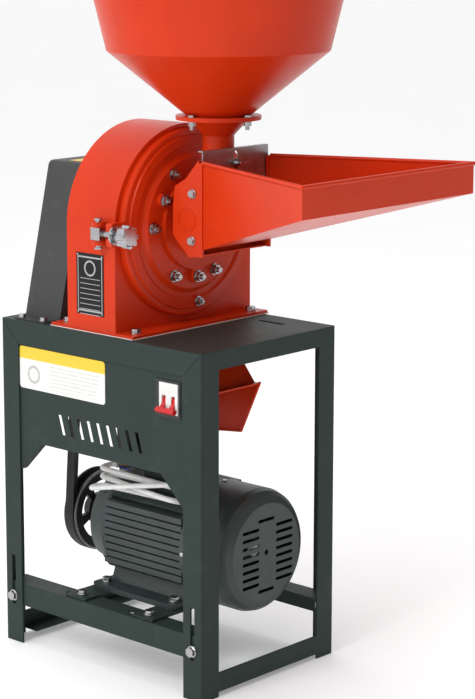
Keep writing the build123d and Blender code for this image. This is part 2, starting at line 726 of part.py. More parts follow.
def feed_box_points():
    top = [(-127.5, 743), (-103, 733.6), (-81, 721.6), (-77, 692.4)]
    return top + [(-77, 651), (-107.7, 621.2), (-127.2, 623.3)]


def feed_seat():
    seat = cyl_y(68, AXIS_X, MILL_Z, -56, -49)
    for angle in (30, 150, 270):
        x, z = polar(AXIS_X, MILL_Z, 79, angle)
        x0, z0 = polar(AXIS_X, MILL_Z, 60, angle)
        ear = cyl_y(10, x, z, -56, -49) + Pos((x + x0) / 2, -52.5, (z + z0) / 2) * Rot(0, -angle, 0) * Box(19, 7, 20)
        seat = seat + ear
    seat = seat + turn_y([(0, -56), (50, -56), (46, -62), (44, -77), (0, -77)], AXIS_X, MILL_Z)
    x0 = AXIS_X - CHEEK_X
    x1 = AXIS_X + CHEEK_X
    shell = poly_yz(feed_box_points(), x0 - 2, x1 + 2)
    hollow = [(-129, 741.5), (-103.6, 731.6), (-82.8, 720), (-79, 692), (-79, 652), (-108.5, 623.4), (-129, 625.5)]
    seat = seat + (shell - poly_yz(hollow, x0, x1))
    seat = seat + poly_yz(cheek_points(), x0 - 2, x0) + poly_yz(cheek_points(), x1, x1 + 2)
    seat = seat - cyl_y(19, AXIS_X, MILL_Z + 10, -80, -48)
    seat = seat - cyl_z(23, AXIS_X, FEED_Y, 716, 760)
    for s in (-1, 1):
        a = AXIS_X + s * (CHEEK_X - 1.5)
        b = AXIS_X + s * (CHEEK_X + 2)
        bar = box(min(a, b), max(a, b), TRAY_Y0, -127, 623, 757.5)
        c = AXIS_X + s * (CHEEK_X - 8)
        lip = box(min(a, c), max(a, c), TRAY_Y0, TRAY_Y0 + 1.7, 640, 757)
        seat = seat + bar + lip
        disc = cyl_x(17, -104, 675, AXIS_X + s * (CHEEK_X + 1), AXIS_X + s * (CHEEK_X + 3))
        seat = seat + (disc - cyl_x(14.4, -104, 675, AXIS_X + s * (CHEEK_X + 2), AXIS_X + s * (CHEEK_X + 4)))
    seat = seat + box(x0 - 2, x1 + 2, -129.5, -127, 740, 757.5)
    return seat


def feed_fasteners():
    parts = []
    for s in (-1, 1):
        for y, z in ((-116, 713), (-114.4, 645.4)):
            out = AXIS_X + s * (CHEEK_X + 2)
            parts.append(hex_x(10, y, z, out, out + s * 5) + cyl_x(6.5, y, z, out, out + s * 1.2))
    stud = cyl_y(3, AXIS_X, 752, -143, -129.5)
    parts.append(stud)
    for angle in (0, 90, 180, 270):
        x, y = polar(AXIS_X, FEED_Y, 56, angle)
        screw = hex_z(10, x, y, HOPPER_Z + 3, HOPPER_Z + 6) + hex_z(10, x, y, HOPPER_Z - 9.4, HOPPER_Z - 4.4)
        screw = screw + cyl_z(6, x, y, HOPPER_Z - 4.4, HOPPER_Z - 3)
        parts.append(screw + cyl_z(3, x, y, HOPPER_Z - 15, HOPPER_Z + 5))
    return Compound(parts)


def feed_gate():
    half = CHEEK_X - 2
    plate = box(AXIS_X - half, AXIS_X + half, GATE_Y - 1.5, GATE_Y, 655, 774)
    plate = plate + box(AXIS_X - half, AXIS_X + half, GATE_Y - 1.5, GATE_Y + 7.5, 772.5, 774)
    slot = box(AXIS_X - 3.5, AXIS_X + 3.5, -140, -125, 744.5, 766.5)
    slot = slot + cyl_y(3.5, AXIS_X, 744.5, -140, -125) + cyl_y(3.5, AXIS_X, 766.5, -140, -125)
    return plate - slot


def gate_wing_nut():
    y0 = GATE_Y - 1.9
    hub = turn_y([(3.3, y0), (6.5, y0), (5, y0 - 7), (3.3, y0 - 7)], AXIS_X, 752)
    wings = []
    for s in (-1, 1):
        wing = [(s * 4.2, y0 - 2), (s * 14.5, y0 - 7.5), (s * 14.5, y0 - 12.5), (s * 4.2, y0 - 6.5)]
        wings.append(poly_xy([(AXIS_X + x, y) for x, y in wing], 750.8, 753.2))
    return hub + wings[0] + wings[1]


def tray_section(y, half, z0, z1):
    plane = Plane(origin=(AXIS_X, y, (z0 + z1) / 2), x_dir=(1, 0, 0), z_dir=(0, -1, 0))
    return plane * Rectangle(2 * half, z1 - z0)


def feed_tray():
    outer = loft([tray_section(TRAY_Y0, TRAY_W0, 634, TRAY_Z), tray_section(TRAY_Y1, TRAY_W1, 715, TRAY_Z)])
    grow = (TRAY_W1 - TRAY_W0) / (TRAY_Y0 - TRAY_Y1)
    rise = (715 - 634) / (TRAY_Y0 - TRAY_Y1)
    near = tray_section(TRAY_Y0 + 4, TRAY_W0 - 2 - 4 * grow, 636 - 4 * rise, 800)
    far = tray_section(TRAY_Y1 + 2, TRAY_W1 - 2 - 2 * grow, 717 - 2 * rise, 800)
    tray = outer - loft([near, far])
    corners = [(-TRAY_W0, TRAY_Y0), (-TRAY_W1, TRAY_Y1), (TRAY_W1, TRAY_Y1), (TRAY_W0, TRAY_Y0)]
    pts = [(AXIS_X + x, y, TRAY_Z) for x, y in corners]
    for a, b in zip(pts[:-1], pts[1:]):
        tray = tray + rod(a, b, 3)
    for x, y, z in pts[1:3]:
        tray = tray + Pos(x, y, z) * Sphere(3)
    return tray - box(AXIS_X - 300, AXIS_X + 300, TRAY_Y0, TRAY_Y0 + 20, 600, 800)


def throat():
    pts = [(23, 716), (23, 790), (44, HOPPER_Z - 3), (62, HOPPER_Z - 3), (62, HOPPER_Z), (43, HOPPER_Z)]
    pts = pts + [(43, HOPPER_Z - 1.6), (21.5, 790.8), (21.5, 716)]
    body = turn_z(pts, AXIS_X, FEED_Y)
    for angle in (0, 90, 180, 270):
        x, y = polar(AXIS_X, FEED_Y, 56, angle)
        body = body - cyl_z(3, x, y, 800, 830)
    return body


def hopper():
    z = HOPPER_Z
    rim = HOPPER_RIM_R
    top = HOPPER_RIM_Z
    pts = [(43, z), (62, z), (62, z + 3), (47, z + 3), (161, 912), (rim, top - 2), (rim + 4, top - 2), (rim + 4, top)]
    pts = pts + [(rim - 1.5, top), (159.4, 912.8), (43, z + 2)]
    body = turn_z(pts, AXIS_X, FEED_Y)
    for angle in (0, 90, 180, 270):
        x, y = polar(AXIS_X, FEED_Y, 56, angle)
        body = body - cyl_z(3, x, y, 800, 819.5)
    return body


# ---- latch ----
def latch_bolt():
    x, z = LATCH
    eye = box(x - 9, x + 8, -19, -1, z - 9, z + 9)
    eye = eye - box(x - 5.4, x + 5.4, LATCH_PIN_Y, 0, z - 10, z + 10) - cyl_z(5.4, x, LATCH_PIN_Y, z - 10, z + 10)
    return eye + cyl_y(5, x, z, -70, -18)


def latch_washer():
    x, z = LATCH
    return cyl_y(14, x, z, DOOR_FRONT - 3, DOOR_FRONT) - cyl_y(5, x, z, -60, -30)


def latch_knob():
    x, z = LATCH
    back = DOOR_FRONT - 3.3
    knob = turn_y([(0, back), (9, back), (12.5, -58), (14, -59.5), (14, -71.5), (12, -73.5), (0, -73.5)], x, z)
    for i in range(8):
        cx, cz = polar(x, z, 13, 45 * i)
        knob = knob + cyl_y(4, cx, cz, -72.5, -59)
    return knob - cyl_y(5.3, x, z, -70.5, -40)


def latch_pin():
    x = LATCH[0]
    return cyl_z(4, x, LATCH_PIN_Y, 635, 674) + cyl_z(6, x, LATCH_PIN_Y, 674, 677) + cyl_z(6, x, LATCH_PIN_Y, 632, 635)


def hinge_pin():
    hx, hy = HINGE
    return cyl_z(4, hx, hy, 607, 709) + cyl_z(6.5, hx, hy, 709, 713) + cyl_z(6.5, hx, hy, 603, 607)


# ---- supply lead ----
def lead_route():
    route = [(-6, -58, 285), (-6, -94, 286), (-84, -96, 288), (-86, -70, 283)]
    route = route + [(-86, 56, 256), (-86, 82, 250), (-60, 82, 251), (-60, 56, 251.5)]
    route = route + [(-58, -66, 253.5), (-58, -92, 254), (-82, -92, 262), (-82, -66, 262.6)]
    route = route + [(-66, 52, 265.4), (-66, 78, 266), (-45.5, 78, 267), (-45.5, 52, 267.5)]
    route = route + [(-48, -62, 269.5), (-48, -88, 270), (-70, -88, 278), (-70, -62, 278.3)]
    return route + [(-68, 50, 279.7), (-68, 76, 280), (-44, 76, 281), (-45, 66, 282), (-48, 56, 283)]


def halfway(a, b):
    return tuple((p + q) / 2 for p, q in zip(a, b))


def supply_lead():
    route = lead_route()
    bends = []
    start = route[0]
    for i in range(1, len(route) - 1):
        last = i == len(route) - 2
        stop = route[-1] if last else halfway(route[i], route[i + 1])
        bends.append(Bezier(start, route[i], stop))
        start = stop
    face = Plane(origin=route[0], z_dir=(0, -1, 0)) * Circle(LEAD_R)
    return sweep(face, Wire(bends))


def main():
    os.makedirs("parts", exist_ok=True)
    for sy, end in ((-1, "front"), (1, "rear")):
        for sx, side in ((-1, "left"), (1, "right")):
            save(leg(sx, sy), "leg_" + end + "_" + side)
    save(side_rail(-1), "top_rail_left")
    save(side_rail(1), "top_rail_right")
    save(motor_rail(-1), "motor_rail_left")
    save(motor_rail(1), "motor_rail_right")
    save(pulley(BIG_R, MOTOR_Z, True), "motor_pulley")
    save(pulley(SMALL_R, MILL_Z, False), "mill_pulley")
    save(cross_rails(), "top_rails_cross")
    simple = [floor_rails, table_plate, motor_straps, mount_bolts, switch_panel, breaker, breaker_bezel]
    simple = simple + [shield_screws]
    simple = simple + [breaker_toggle, panel_label, motor_housing, drive_end_shield, fan_end_shield, fan_cover]
    simple = simple + [motor_shaft, motor_rotor_core, motor_stator_core, motor_fan, terminal_box, drive_belt]
    simple = simple + [belt_guard, table_bolts, mill_case, bearing_housing, ball_bearings, main_shaft, rotor_disc]
    simple = simple + [rotor_hammers, rotor_nut, sieve_ring, nameplate, discharge_chute, door, fixed_toothed_disc]
    simple = simple + [door_nuts, feed_seat, feed_fasteners, feed_gate, gate_wing_nut, feed_tray, throat, hopper]
    simple = simple + [latch_bolt, latch_washer, latch_knob, latch_pin, hinge_pin, supply_lead]
    for make in simple:
        save(make(), make.__name__)


main()
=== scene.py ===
"""Looks, small visual pieces, camera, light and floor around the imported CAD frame."""

import math

import bmesh
import bpy
from mathutils import Matrix, Vector


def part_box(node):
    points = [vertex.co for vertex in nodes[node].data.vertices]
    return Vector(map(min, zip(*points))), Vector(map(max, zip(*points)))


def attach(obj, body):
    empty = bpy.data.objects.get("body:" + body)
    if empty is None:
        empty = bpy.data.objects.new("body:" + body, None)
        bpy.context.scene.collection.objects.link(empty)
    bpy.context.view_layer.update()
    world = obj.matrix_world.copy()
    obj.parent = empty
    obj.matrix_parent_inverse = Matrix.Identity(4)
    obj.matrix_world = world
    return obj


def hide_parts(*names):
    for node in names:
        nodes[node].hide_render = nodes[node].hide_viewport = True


# camera: angles in degrees, place in stand millimetres, sensor and lens in millimetres
YAW, PITCH, ROLL = 46.63, 9.85, -0.12
CAMERA_AT = (-2234.2, -2156.8, 1096.9)
SENSOR, LENS = 36.0, 109.06
SHIFT = (0.0692, -0.0901)

# base colours
GREEN = (0.026, 0.042, 0.038)
RED = (0.63, 0.036, 0.004)
DUST = (0.33, 0.30, 0.27)
EVEN = (1.0, 1.0, 1.0)  # grain that is stretched along no axis

# supply lead and its bare cores, in metres
LEAD_DIAMETER = 0.008
CORE_DIAMETER = 0.0026
CORE_OFFSET = 0.00045  # for each millimetre of its way, how far off the lead's middle a core starts
LENGTH_STEPS = 24  # steps that each span of the route is measured in

# The lead's route in stand millimetres: the points of lead_route in part.py.
LEAD = [
    (-6, -58, 285), (-6, -94, 286), (-84, -96, 288), (-86, -70, 283),
    (-86, 56, 256), (-86, 82, 250), (-60, 82, 251), (-60, 56, 251.5),
    (-58, -66, 253.5), (-58, -92, 254), (-82, -92, 262), (-82, -66, 262.6),
    (-66, 52, 265.4), (-66, 78, 266), (-45.5, 78, 267), (-45.5, 52, 267.5),
    (-48, -62, 269.5), (-48, -88, 270), (-70, -88, 278), (-70, -62, 278.3),
    (-68, 50, 279.7), (-68, 76, 280), (-44, 76, 281), (-45, 66, 282),
    (-48, 56, 283),
]
# each bare core at the lead's end: name, material and way in millimetres
CORES = (
    ("core_brown", "brown", (-2, -26, 3)),
    ("core_blue", "blue", (3, -20, -3)),
    ("core_earth", "earth", (-6, -34, 6)),
)

# small pieces of the visual model only, in stand millimetres
RIM_AT = (8, 145, 186)  # middle of the motor pulley's front face
GASKET = (  # front and left strips under the mill case, corner to corner
    ((-138.6, -67.6, 504.6), (154.6, -65.4, 506.0)),
    ((-138.6, -67.6, 504.6), (-136.4, 106.0, 506.0)),
)
FILM = ((-44, 122, 738.0), (30, 160, 738.4))  # yellow film on top of the belt guard
RIVET_X = -137.8
RIVETS = ((-4.0, 534.0), (46.0, 534.0), (-4.0, 618.0), (46.0, 618.0))  # y and z of each

# lamps: name, place from the aim point in metres, size in metres, power in watts
LAMPS = (
    ("key", (-2.6, -0.2, 2.2), 1.2, 34.0),
    ("front", (0.6, -2.8, 1.6), 1.8, 6.0),
    ("top", (0.0, 0.0, 3.2), 2.0, 16.0),
)
AIM_HEIGHT = 0.5
DIM_WAY = (0.45, -1.0, -0.1)  # the world is dimmest this way
WORLD_FADE = (("From Min", -0.1), ("From Max", 0.6), ("To Min", 1.06), ("To Max", 0.14))
FLOOR_SIZE, FLOOR_Z = 30.0, -0.0005
FLOOR_GLOW = 0.2

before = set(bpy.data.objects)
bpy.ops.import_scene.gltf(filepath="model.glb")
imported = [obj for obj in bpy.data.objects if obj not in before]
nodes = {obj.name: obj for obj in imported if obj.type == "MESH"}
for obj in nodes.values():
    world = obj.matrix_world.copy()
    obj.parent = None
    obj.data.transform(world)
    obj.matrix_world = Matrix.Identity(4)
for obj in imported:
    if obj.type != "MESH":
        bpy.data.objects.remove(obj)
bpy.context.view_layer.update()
table_lo, table_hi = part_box("table_plate")
MID = Vector(((table_lo.x + table_hi.x) / 2, (table_lo.y + table_hi.y) / 2, 0.0))


def S(x, y, z):
    """Stand millimetres to row metres: the stand's middle is the middle of its table plate."""
    return Vector((MID.x + x / 1000, MID.y + y / 1000, z / 1000))


def show(name, data):
    """A new object for some data, linked to the scene."""
    made = bpy.data.objects.new(name, data)
    bpy.context.scene.collection.objects.link(made)
    return made


# ---------------------------------------------------------------- camera
def make_camera():
    psi, pitch, roll = (math.radians(a) for a in (YAW, PITCH, ROLL))
    flat = math.cos(pitch)
    ahead = Vector((math.sin(psi) * flat, math.cos(psi) * flat, -math.sin(pitch)))
    side = Vector((math.cos(psi), -math.sin(psi), 0.0))
    up = side.cross(ahead)
    right = side * math.cos(roll) + up * math.sin(roll)
    top = up * math.cos(roll) - side * math.sin(roll)
    data = bpy.data.cameras.new("camera")
    cam = show("camera", data)
    turn = Matrix((right, top, -ahead)).transposed().to_4x4()
    turn.translation = S(*CAMERA_AT)
    cam.matrix_world = turn
    data.sensor_width = SENSOR
    data.lens = LENS
    data.shift_x, data.shift_y = SHIFT
    data.clip_start = 0.1
    data.clip_end = 60.0
    bpy.context.scene.camera = cam


make_camera()


# ---------------------------------------------------------------- materials
class Mat:
    """A small builder for node materials."""

    def __init__(self, name):
        self.m = bpy.data.materials.new(name)
        self.m.use_nodes = True
        self.t = self.m.node_tree
        self.b = next(n for n in self.t.nodes if n.type == "BSDF_PRINCIPLED")
        self.co = self.node("ShaderNodeTexCoord").outputs["Object"]

    def node(self, kind):
        return self.t.nodes.new(kind)

    def link(self, a, b):
        self.t.links.new(a, b)

    def set(self, **values):
        for k, v in values.items():
            self.b.inputs[k.replace("_", " ")].default_value = v

    def noise(self, scale, detail=3.0, rough=0.55, stretch=None):
        n = self.node("ShaderNodeTexNoise")
        n.inputs["Scale"].default_value = scale
        n.inputs["Detail"].default_value = detail
        n.inputs["Roughness"].default_value = rough
        co = self.co
        if stretch:
            mp = self.node("ShaderNodeMapping")
            mp.inputs["Scale"].default_value = stretch
            self.link(co, mp.inputs["Vector"])
            co = mp.outputs["Vector"]
        self.link(co, n.inputs["Vector"])
        return n.outputs["Fac"]

    def ramp(self, fac, stops):
        """A colour ramp from pairs of a place and a colour or grey level."""
        r = self.node("ShaderNodeValToRGB")
        el = r.color_ramp.elements
        while len(el) < len(stops):
            el.new(0.5)
        for e, (p, c) in zip(el, stops):
            e.position = p
            e.color = (c[0], c[1], c[2], 1.0) if hasattr(c, "__len__") else (c, c, c, 1.0)
        self.link(fac, r.inputs["Fac"])
        return r.outputs["Color"]

    def math(self, op, a, b=0.0, clamp=False):
        n = self.node("ShaderNodeMath")
        n.operation = op
        n.use_clamp = clamp
        for i, v in enumerate((a, b)):
            if isinstance(v, (int, float)):
                n.inputs[i].default_value = v
            else:
                self.link(v, n.inputs[i])
        return n.outputs[0]

    def plus(self, a, b):
        return self.math("ADD", a, b)

    def minus(self, a, b):
        return self.math("SUBTRACT", a, b)

    def times(self, a, b):
        return self.math("MULTIPLY", a, b)

    def over(self, a, b):
        return self.math("DIVIDE", a, b)

    def above(self, a, b):
        return self.math("GREATER_THAN", a, b)

    def below(self, a, b):
        return self.math("LESS_THAN", a, b)

    def most(self, a, b):
        return self.math("MAXIMUM", a, b)

    def mix(self, fac, a, b):
        n = self.node("ShaderNodeMix")
        n.data_type = "RGBA"
        sockets = [s for s in n.inputs if s.type == "RGBA"]
        for s, v in zip(sockets, (a, b)):
            if hasattr(v, "__len__"):
                s.default_value = (v[0], v[1], v[2], 1.0)
            else:
                self.link(v, s)
        self.link(fac, n.inputs[0])
        return next(s for s in n.outputs if s.type == "RGBA")

    def rounded(self, radius):
        """The normal of the surface with its edges rounded."""
        bev = self.node("ShaderNodeBevel")
        bev.samples = 4
        bev.inputs["Radius"].default_value = radius
        return bev.outputs[0]

    def edges(self, radius=0.0012):
        """1 on outer and inner corners, 0 on flats."""
        soft = self.rounded(radius)
        geo = self.node("ShaderNodeNewGeometry")
        dot = self.node("ShaderNodeVectorMath")
        dot.operation = "DOT_PRODUCT"
        self.link(soft, dot.inputs[0])
        self.link(geo.outputs["Normal"], dot.inputs[1])
        edge = self.math("SUBTRACT", 1.0, dot.outputs["Value"], True)
        span = self.node("ShaderNodeMapRange")
        span.inputs["From Min"].default_value = 0.02
        span.inputs["From Max"].default_value = 0.22
        self.link(edge, span.inputs["Value"])
        return span.outputs[0]

    def bump(self, height, strength, distance, bevel=0.0):
        n = self.node("ShaderNodeBump")
        n.inputs["Strength"].default_value = strength
        n.inputs["Distance"].default_value = distance
        self.link(height, n.inputs["Height"])
        if bevel:
            self.link(self.rounded(bevel), n.inputs["Normal"])
        self.link(n.outputs[0], self.b.inputs["Normal"])

    def color(self, c):
        self.link(c, self.b.inputs["Base Color"])

    def rough(self, fac, span, least):
        """Roughness from least upwards, by span times a pattern."""
        self.link(self.plus(self.times(fac, span), least), self.b.inputs["Roughness"])

    def place(self, node):
        """How far up and across a plate facing -X, from 0 to 1, and its width over its height."""
        lo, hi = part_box(node)
        sep = self.node("ShaderNodeSeparateXYZ")
        self.link(self.co, sep.inputs[0])
        z = self.over(self.minus(sep.outputs["Z"], lo.z), hi.z - lo.z)
        y = self.over(self.minus(hi.y, sep.outputs["Y"]), hi.y - lo.y)
        return z, y, (hi.y - lo.y) / (hi.z - lo.z)

    def circle(self, z, y, aspect, at, inner, outer):
        """1 between two radii about at, a pair up and across; radii are parts of the height."""
        cy = self.times(self.minus(y, at[1]), aspect)
        cz = self.minus(z, at[0])
        rad = self.math("SQRT", self.plus(self.times(cy, cy), self.times(cz, cz)))
        return self.times(self.below(rad, outer), self.above(rad, inner))


def shade(c, k):
    return tuple(min(1.0, v * k) for v in c)


def paint(name, c, rough, orange, coat, edge_k, dust):
    """Sprayed enamel: orange peel, faint waviness, a painted highlight along the edges, dust in
    patches.
    """
    m = Mat(name)
    cloud = m.noise(7.0, 4.0, 0.6)
    base = m.ramp(cloud, [(0.25, shade(c, 0.9)), (0.75, shade(c, 1.08))])
    grime = m.ramp(m.noise(26.0, 6.0, 0.7), [(0.55, 0.0), (0.8, 1.0)])
    base = m.mix(m.times(grime, dust), base, DUST)
    edge = m.edges()
    # painted highlight: the edge mask, broken up by noise, lightens the colour towards shade(c,
    # edge_k)
    edge_highlight = m.times(edge, m.ramp(m.noise(60.0, 4.0), [(0.35, 0.25), (0.7, 0.85)]))
    m.color(m.mix(edge_highlight, base, shade(c, edge_k)))
    m.rough(m.noise(34.0, 5.0), 0.16, rough - 0.08)
    peel = m.plus(m.noise(900.0, 2.0), m.times(m.noise(9.0, 2.0), 3.0))
    m.bump(peel, orange * 0.25, 0.0006, 0.0009)
    m.set(Coat_Weight=coat * 0.3, Coat_Roughness=0.2, Specular_IOR_Level=0.16)
    return m.m


def casting(name, c, rough):
    """Painted rough casting with sand grain and a painted highlight along the edges."""
    m = Mat(name)
    base = m.ramp(m.noise(18.0, 6.0, 0.65), [(0.3, shade(c, 0.82)), (0.7, shade(c, 1.14))])
    edge = m.edges(0.0015)
    # painted highlight: edges are lightened towards 1.7 times the colour
    m.color(m.mix(m.times(edge, 0.55), base, shade(c, 1.7)))
    m.rough(m.noise(60.0, 4.0), 0.2, rough - 0.1)
    grain = m.plus(m.noise(420.0, 4.0, 0.7), m.times(m.noise(60.0, 3.0), 1.5))
    m.bump(grain, 0.28, 0.0008, 0.0012)
    m.set(Coat_Weight=0.12, Coat_Roughness=0.3)
    return m.m


def metal(name, c, rough, stretch, spots, scale=20.0):
    """Bare or plated metal: grain, drawn out where stretched, small stains, a painted highlight on
    the edges.
    """
    m = Mat(name)
    grain = m.noise(scale, 5.0, 0.6, stretch)
    stain = m.ramp(m.noise(70.0, 5.0, 0.7), [(0.5, 0.0), (0.78, 1.0)])
    base = m.ramp(grain, [(0.3, shade(c, 0.78)), (0.7, shade(c, 1.1))])
    base = m.mix(m.times(stain, spots), base, shade(c, 0.45))
    # painted highlight: edges are lightened towards 1.35 times the colour
    m.color(m.mix(m.times(m.edges(0.0008), 0.5), base, shade(c, 1.35)))
    m.rough(grain, 0.25, rough - 0.1)
    m.bump(grain, 0.12, 0.0004, 0.0005)
    m.set(Metallic=1.0)
    return m.m


def plastic(name, c, rough, grain=0.2):
    """Moulded plastic or film with a fine grain."""
    m = Mat(name)
    m.color(m.ramp(m.noise(40.0, 3.0), [(0.3, shade(c, 0.93)), (0.7, shade(c, 1.06))]))
    m.rough(m.noise(120.0, 3.0), 0.12, rough - 0.06)
    m.bump(m.noise(1500.0, 2.0), grain, 0.0003, 0.0006)
    return m.m


def rubber(name, c):
    """Dusty belt rubber with a fine weave."""
    m = Mat(name)
    dust = m.ramp(m.noise(30.0, 6.0, 0.75), [(0.5, 0.0), (0.85, 1.0)])
    m.color(m.mix(m.times(dust, 0.2), c, (0.16, 0.15, 0.15)))
    m.rough(m.noise(80.0, 4.0), 0.2, 0.5)
    weave = m.plus(m.noise(1200.0, 2.0), m.noise(200.0, 3.0, 0.5, (1.0, 1.0, 0.1)))
    m.bump(weave, 0.3, 0.0005, 0.0006)
    return m.m


def striped(name):
    """Green and yellow striped sheath of the earth core."""
    m = Mat(name)
    wave = m.noise(260.0, 0.0, 0.5, (1.0, 0.25, 1.0))
    m.color(m.mix(m.above(wave, 0.5), (0.05, 0.22, 0.05), (0.72, 0.62, 0.06)))
    m.rough(m.noise(80.0, 2.0), 0.1, 0.38)
    m.bump(m.noise(900.0, 1.0), 0.1, 0.0003)
    return m.m


def film_label(name):
    """Plain film label: a yellow header band over an off-white field with faint grey lines."""
    m = Mat(name)
    z, y, aspect = m.place("panel_label")
    head = m.above(z, 0.71)
    lines = m.above(m.math("FRACT", m.times(z, 11.0)), 0.62)
    ragged = m.below(y, m.plus(m.times(m.noise(90.0, 1.0), 0.12), 0.86))
    rows = m.times(m.times(lines, ragged), m.above(y, 0.36))
    rows = m.times(rows, m.below(z, 0.66))
    rows = m.times(rows, m.above(z, 0.07))
    rows = m.times(rows, m.ramp(m.noise(420.0, 1.0), [(0.42, 0.25), (0.5, 0.9)]))
    field = m.mix(m.times(rows, 0.42), (0.83, 0.83, 0.79), (0.30, 0.30, 0.30))
    disc = m.circle(z, y, aspect, (0.36, 0.17), 0.15, 0.22)
    field = m.mix(m.times(disc, 0.55), field, (0.25, 0.25, 0.25))
    m.color(m.mix(head, field, (0.86, 0.58, 0.02)))
    m.rough(m.noise(60.0, 3.0), 0.1, 0.34)
    m.bump(m.noise(500.0, 2.0), 0.08, 0.0003, 0.0004)
    m.set(Coat_Weight=0.3, Coat_Roughness=0.12)
    return m.m


def data_plate(name):
    """Black data plate with a silver border, faint rows and a circle, no lettering."""
    m = Mat(name)
    z, y, aspect = m.place("nameplate")
    off_z = m.math("ABSOLUTE", m.minus(z, 0.5))
    off_y = m.math("ABSOLUTE", m.minus(y, 0.5))
    far = m.most(off_z, off_y)
    border = m.times(m.above(far, 0.425), m.below(far, 0.45))
    rows = m.below(m.math("FRACT", m.times(z, 12.0)), 0.13)
    rows = m.times(rows, m.below(off_y, 0.37))
    rows = m.times(rows, m.below(z, 0.6))
    disc = m.circle(z, y, aspect, (0.76, 0.5), 0.1, 0.13)
    mark = m.most(m.most(border, rows), disc)
    m.color(m.mix(m.times(mark, 0.8), (0.012, 0.012, 0.013), (0.55, 0.55, 0.56)))
    m.rough(m.noise(80.0, 3.0), 0.15, 0.25)
    m.bump(m.plus(mark, m.times(m.noise(300.0, 2.0), 0.3)), 0.3, 0.0003)
    m.set(Metallic=0.6)
    return m.m


M = {
    "green": paint("enamel_green", GREEN, rough=0.5, orange=0.5, coat=0.0, edge_k=1.6, dust=0.05),
    "red": paint("enamel_red", RED, rough=0.33, orange=0.55, coat=0.3, edge_k=1.2, dust=0.03),
    "grey": paint(
        "enamel_grey", (0.058, 0.060, 0.061), rough=0.5, orange=0.5, coat=0.1, edge_k=1.3, dust=0.1
    ),
    "motor": casting("motor_enamel", (0.030, 0.044, 0.042), rough=0.48),
    "pulley": casting("pulley_black", (0.012, 0.012, 0.013), rough=0.45),
    "iron": metal("cast_iron", (0.25, 0.25, 0.26), 0.5, EVEN, spots=0.4),
    "zinc": metal("zinc_plate", (0.46, 0.46, 0.47), 0.22, EVEN, spots=0.2, scale=60.0),
    "sheet": metal("galvanised_sheet", (0.42, 0.42, 0.42), 0.34, EVEN, spots=0.25, scale=45.0),
    "alloy": metal("cast_alloy", (0.50, 0.50, 0.52), 0.2, EVEN, spots=0.2, scale=70.0),
    "ground": metal("ground_steel", (0.50, 0.51, 0.52), 0.25, (1.0, 60.0, 1.0), spots=0.15),
    "core": metal("core_laminations", (0.28, 0.28, 0.29), 0.45, (1.0, 90.0, 1.0), spots=0.3),
    "rim": metal("machined_rim", (0.55, 0.55, 0.56), 0.25, (60.0, 1.0, 60.0), spots=0.1),
    "belt": rubber("belt_rubber", (0.014, 0.014, 0.015)),
    "black": plastic("black_plastic", (0.018, 0.018, 0.019), 0.38),
    "white": plastic("white_plastic", (0.80, 0.80, 0.78), 0.32, grain=0.1),
    "redplastic": plastic("red_plastic", (0.62, 0.012, 0.012), 0.3, grain=0.1),
    "film": plastic("yellow_film", (0.80, 0.50, 0.02), 0.4, grain=0.1),
    "lead": plastic("lead_sheath", (0.82, 0.82, 0.81), 0.42, grain=0.25),
    "blue": plastic("core_blue", (0.02, 0.04, 0.35), 0.4),
    "brown": plastic("core_brown", (0.16, 0.05, 0.02), 0.4),
    "earth": striped("core_green_yellow"),
    "label": film_label("label_film"),
    "plate": data_plate("data_plate"),
}

# the CAD nodes by the material that each one gets
LOOK = {
    "green": "leg_front_left leg_front_right leg_rear_left leg_rear_right top_rail_left "
    "top_rail_right top_rails_cross floor_rails table_plate switch_panel motor_rail_left "
    "motor_rail_right motor_straps",
    "motor": "motor_housing drive_end_shield fan_end_shield fan_cover terminal_box",
    "red": "mill_case door feed_seat feed_tray throat hopper discharge_chute",
    "grey": "belt_guard",
    "iron": "bearing_housing fixed_toothed_disc rotor_disc",
    "zinc": "mount_bolts table_bolts shield_screws door_nuts feed_fasteners latch_bolt "
    "latch_washer latch_pin hinge_pin rotor_nut gate_wing_nut",
    "sheet": "feed_gate sieve_ring",
    "alloy": "latch_knob",
    "ground": "motor_shaft main_shaft ball_bearings rotor_hammers",
    "core": "motor_rotor_core motor_stator_core",
    "pulley": "motor_pulley mill_pulley",
    "belt": "drive_belt",
    "black": "motor_fan breaker_bezel",
    "white": "breaker",
    "redplastic": "breaker_toggle",
    "lead": "supply_lead",
    "label": "panel_label",
    "plate": "nameplate",
}

for key, names in LOOK.items():
    for name in names.split():
        data = nodes[name].data
        data.materials.clear()
        data.materials.append(M[key])


# ---------------------------------------------------------------- supply lead
def route_length(points):
    """Length of the quadratic B-spline through the control points, clamped at both ends."""
    total, start = 0.0, points[0]
    for i in range(1, len(points) - 1):
        stop = points[-1] if i == len(points) - 2 else (points[i] + points[i + 1]) / 2
        last = start
        for k in range(1, LENGTH_STEPS + 1):
            t = k / LENGTH_STEPS
            q = start * (1 - t) ** 2 + points[i] * 2 * t * (1 - t) + stop * t * t
            total += (q - last).length
            last = q
        start = stop
    return total


def nurbs(name, points, diameter, material):
    """A round cord along a smooth curve, fixed to the stand."""
    curve = bpy.data.curves.new(name, "CURVE")
    curve.dimensions = "3D"
    curve.bevel_depth = diameter / 2
    curve.bevel_resolution = 5
    curve.resolution_u = 16
    curve.use_fill_caps = True
    line = curve.splines.new("NURBS")
    line.points.add(len(points) - 1)
    for p, q in zip(line.points, points):
        p.co = (q.x, q.y, q.z, 1.0)
    line.order_u = 3
    line.use_endpoint_u = True
    made = show(name, curve)
    curve.materials.append(material)
    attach(made, "stand")
    return made


